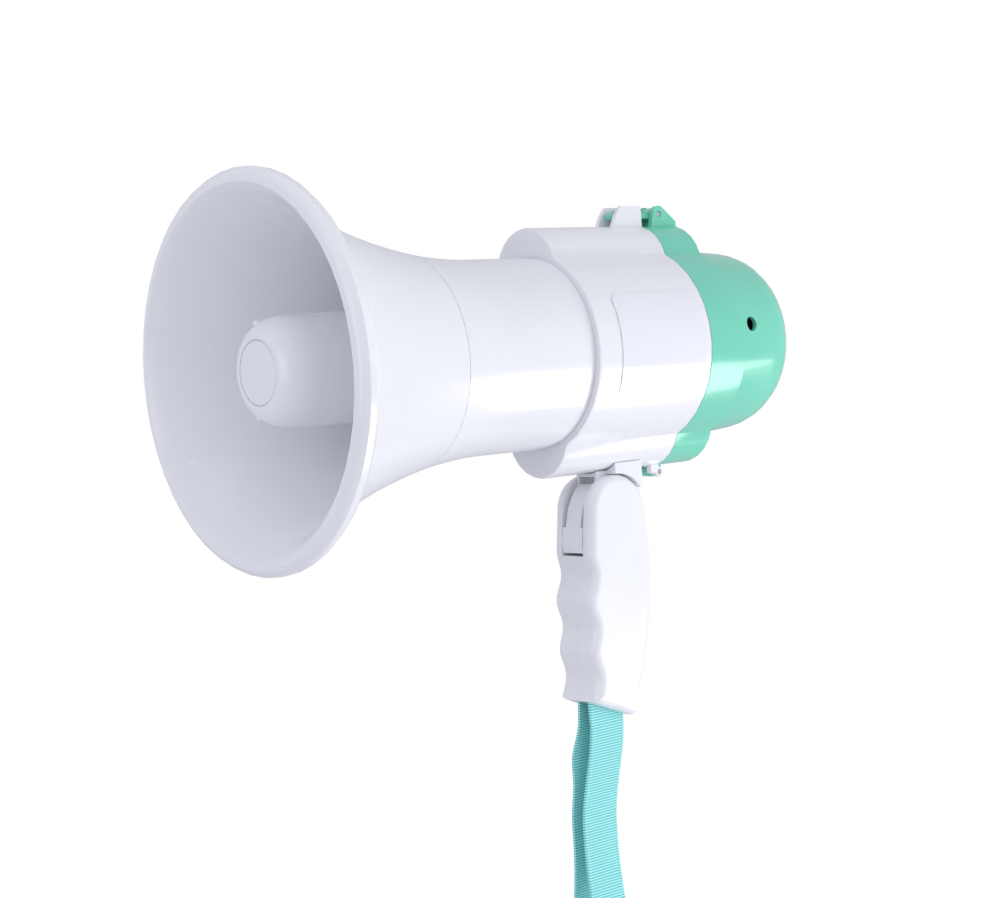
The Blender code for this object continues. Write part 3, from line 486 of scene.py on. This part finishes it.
def make_clips(material):
    """Two clips on the cup's shoulder."""
    low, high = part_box("reflector_cup")
    centre = Vector(((low[0] + high[0]) / 2, low[1] + CLIP_SETBACK, (low[2] + high[2]) / 2))
    for number, degrees in enumerate(CLIP_ANGLES, 1):
        angle = math.radians(degrees)
        place = centre + Vector((math.cos(angle), 0, math.sin(angle))) * CLIP_CIRCLE
        clip = rounded_block(place, CLIP_SIZE, -angle, 0.0006)
        add_piece(f"cup_clip_{number}", clip, "horn", material)


def make_thumb_pad(material):
    """A raised pad where the thumb presses the latch."""
    low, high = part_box("latch_lever")
    place = Vector(((low[0] + high[0]) / 2, low[1] + PAD_SETBACK, low[2] + PAD_HEIGHT))
    pad = rounded_block(place, PAD_SIZE, 0.0, 0.0003)
    add_piece("latch_thumb_pad", pad, "latch", material)


def make_jack_pin(material):
    """The centre pin inside the power socket, pointing out to the side."""
    low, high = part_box("dc_jack")
    shape = bmesh.new()
    bmesh.ops.create_cone(
        shape,
        cap_ends=True,
        segments=16,
        radius1=JACK_PIN_BASE_RADIUS,
        radius2=JACK_PIN_TIP_RADIUS,
        depth=JACK_PIN_LENGTH,
    )
    place = Vector((high[0] - JACK_PIN_SETBACK, (low[1] + high[1]) / 2, (low[2] + high[2]) / 2))
    move = Matrix.Translation(place) @ Matrix.Rotation(math.pi / 2, 4, "Y")
    bmesh.ops.transform(shape, matrix=move, verts=shape.verts)
    add_piece("jack_pin", shape, "cap", material)


# Stage


def make_camera():
    azimuth, elevation = math.radians(CAMERA_AZIMUTH), math.radians(CAMERA_ELEVATION)
    roll = math.radians(CAMERA_ROLL)
    flat = math.cos(elevation)
    back = Vector((math.sin(azimuth) * flat, -math.cos(azimuth) * flat, math.sin(elevation)))
    level = Vector((math.cos(azimuth), math.sin(azimuth), 0))
    upright = back.cross(level)
    right = math.cos(roll) * level + math.sin(roll) * upright
    up = -math.sin(roll) * level + math.cos(roll) * upright
    data = bpy.data.cameras.new("camera")
    data.lens = CAMERA_LENS
    data.sensor_width = 36.0
    camera = bpy.data.objects.new("camera", data)
    camera.matrix_world = Matrix.Translation(CAMERA_PLACE) @ Matrix((right, up, back)).transposed().to_4x4()
    bpy.context.collection.objects.link(camera)
    bpy.context.scene.camera = camera


def add_light(name, place, target, size, power, colour=(1, 1, 1)):
    data = bpy.data.lights.new(name, "AREA")
    data.shape = "RECTANGLE"
    data.size, data.size_y = size
    data.energy = power
    data.color = colour
    light = bpy.data.objects.new(name, data)
    light.location = place
    light.rotation_euler = (Vector(target) - Vector(place)).to_track_quat("-Z", "Y").to_euler()
    light.visible_camera = False
    bpy.context.collection.objects.link(light)


def make_lights():
    middle = (0.0, -0.02, 0.11)
    add_light("low_softbox", (0.58, 0.62, -0.42), middle, (0.50, 0.55), 4.9)
    add_light("top_softbox", (0.25, -0.10, 1.30), middle, (1.2, 1.0), 1.2)
    add_light("front_fill", (0.20, -1.50, 0.35), middle, (1.4, 1.0), 4.4, (0.93, 0.94, 1.0))
    add_light("side_fill", (1.15, 0.35, 0.50), middle, (0.9, 0.9), 2.9)


def make_world():
    """Plain white behind the object, and a softer, cooler surround as light."""
    world = bpy.data.worlds.new("studio")
    bpy.context.scene.world = world
    world.use_nodes = True
    tree = world.node_tree
    seen = tree.nodes["Background"]
    seen.inputs["Color"].default_value = (1, 1, 1, 1)
    around = tree.nodes.new("ShaderNodeBackground")
    around.inputs["Color"].default_value = (0.90, 0.91, 1.0, 1)
    around.inputs["Strength"].default_value = 0.64
    choose_by_ray(tree, around, seen, tree.nodes["World Output"])


def choose_by_ray(tree, lighting, seen, output):
    ray = tree.nodes.new("ShaderNodeLightPath")
    mix = tree.nodes.new("ShaderNodeMixShader")
    tree.links.new(ray.outputs["Is Camera Ray"], mix.inputs["Fac"])
    tree.links.new(lighting.outputs[0], mix.inputs[1])
    tree.links.new(seen.outputs[0], mix.inputs[2])
    tree.links.new(mix.outputs[0], output.inputs["Surface"])


def make_floor():
    shape = bmesh.new()
    bmesh.ops.create_grid(shape, x_segments=1, y_segments=1, size=FLOOR_REACH)
    mesh = bpy.data.meshes.new("floor")
    shape.to_mesh(mesh)
    shape.free()
    floor = bpy.data.objects.new("floor", mesh)
    floor.location.z = FLOOR_HEIGHT
    bpy.context.collection.objects.link(floor)
    made, tree, shader = new_material("floor_white", 0.8)
    shader.inputs["Base Color"].default_value = (0.8, 0.8, 0.82, 1)
    glow = tree.nodes.new("ShaderNodeEmission")
    glow.inputs["Color"].default_value = (1, 1, 1, 1)
    choose_by_ray(tree, shader, glow, tree.nodes["Material Output"])
    mesh.materials.append(made)


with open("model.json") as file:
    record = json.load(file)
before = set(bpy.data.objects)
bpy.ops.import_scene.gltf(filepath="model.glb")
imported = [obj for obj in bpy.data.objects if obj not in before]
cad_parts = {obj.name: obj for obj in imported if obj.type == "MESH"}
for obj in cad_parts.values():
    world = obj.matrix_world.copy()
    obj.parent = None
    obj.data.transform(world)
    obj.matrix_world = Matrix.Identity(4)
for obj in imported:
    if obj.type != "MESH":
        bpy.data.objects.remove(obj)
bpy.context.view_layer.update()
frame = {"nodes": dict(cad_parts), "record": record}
make_camera()
made_materials = make_materials()
make_strap(made_materials["teal_webbing"])
dress_nodes(frame, made_materials)
smooth_copies(frame, made_materials)
make_label(made_materials["label_film"])
make_clips(made_materials["white_plastic"])
make_thumb_pad(made_materials["mint_plastic"])
make_jack_pin(made_materials["brass"])
make_lights()
make_world()
make_floor()
bpy.context.scene.view_settings.view_transform = "Standard"
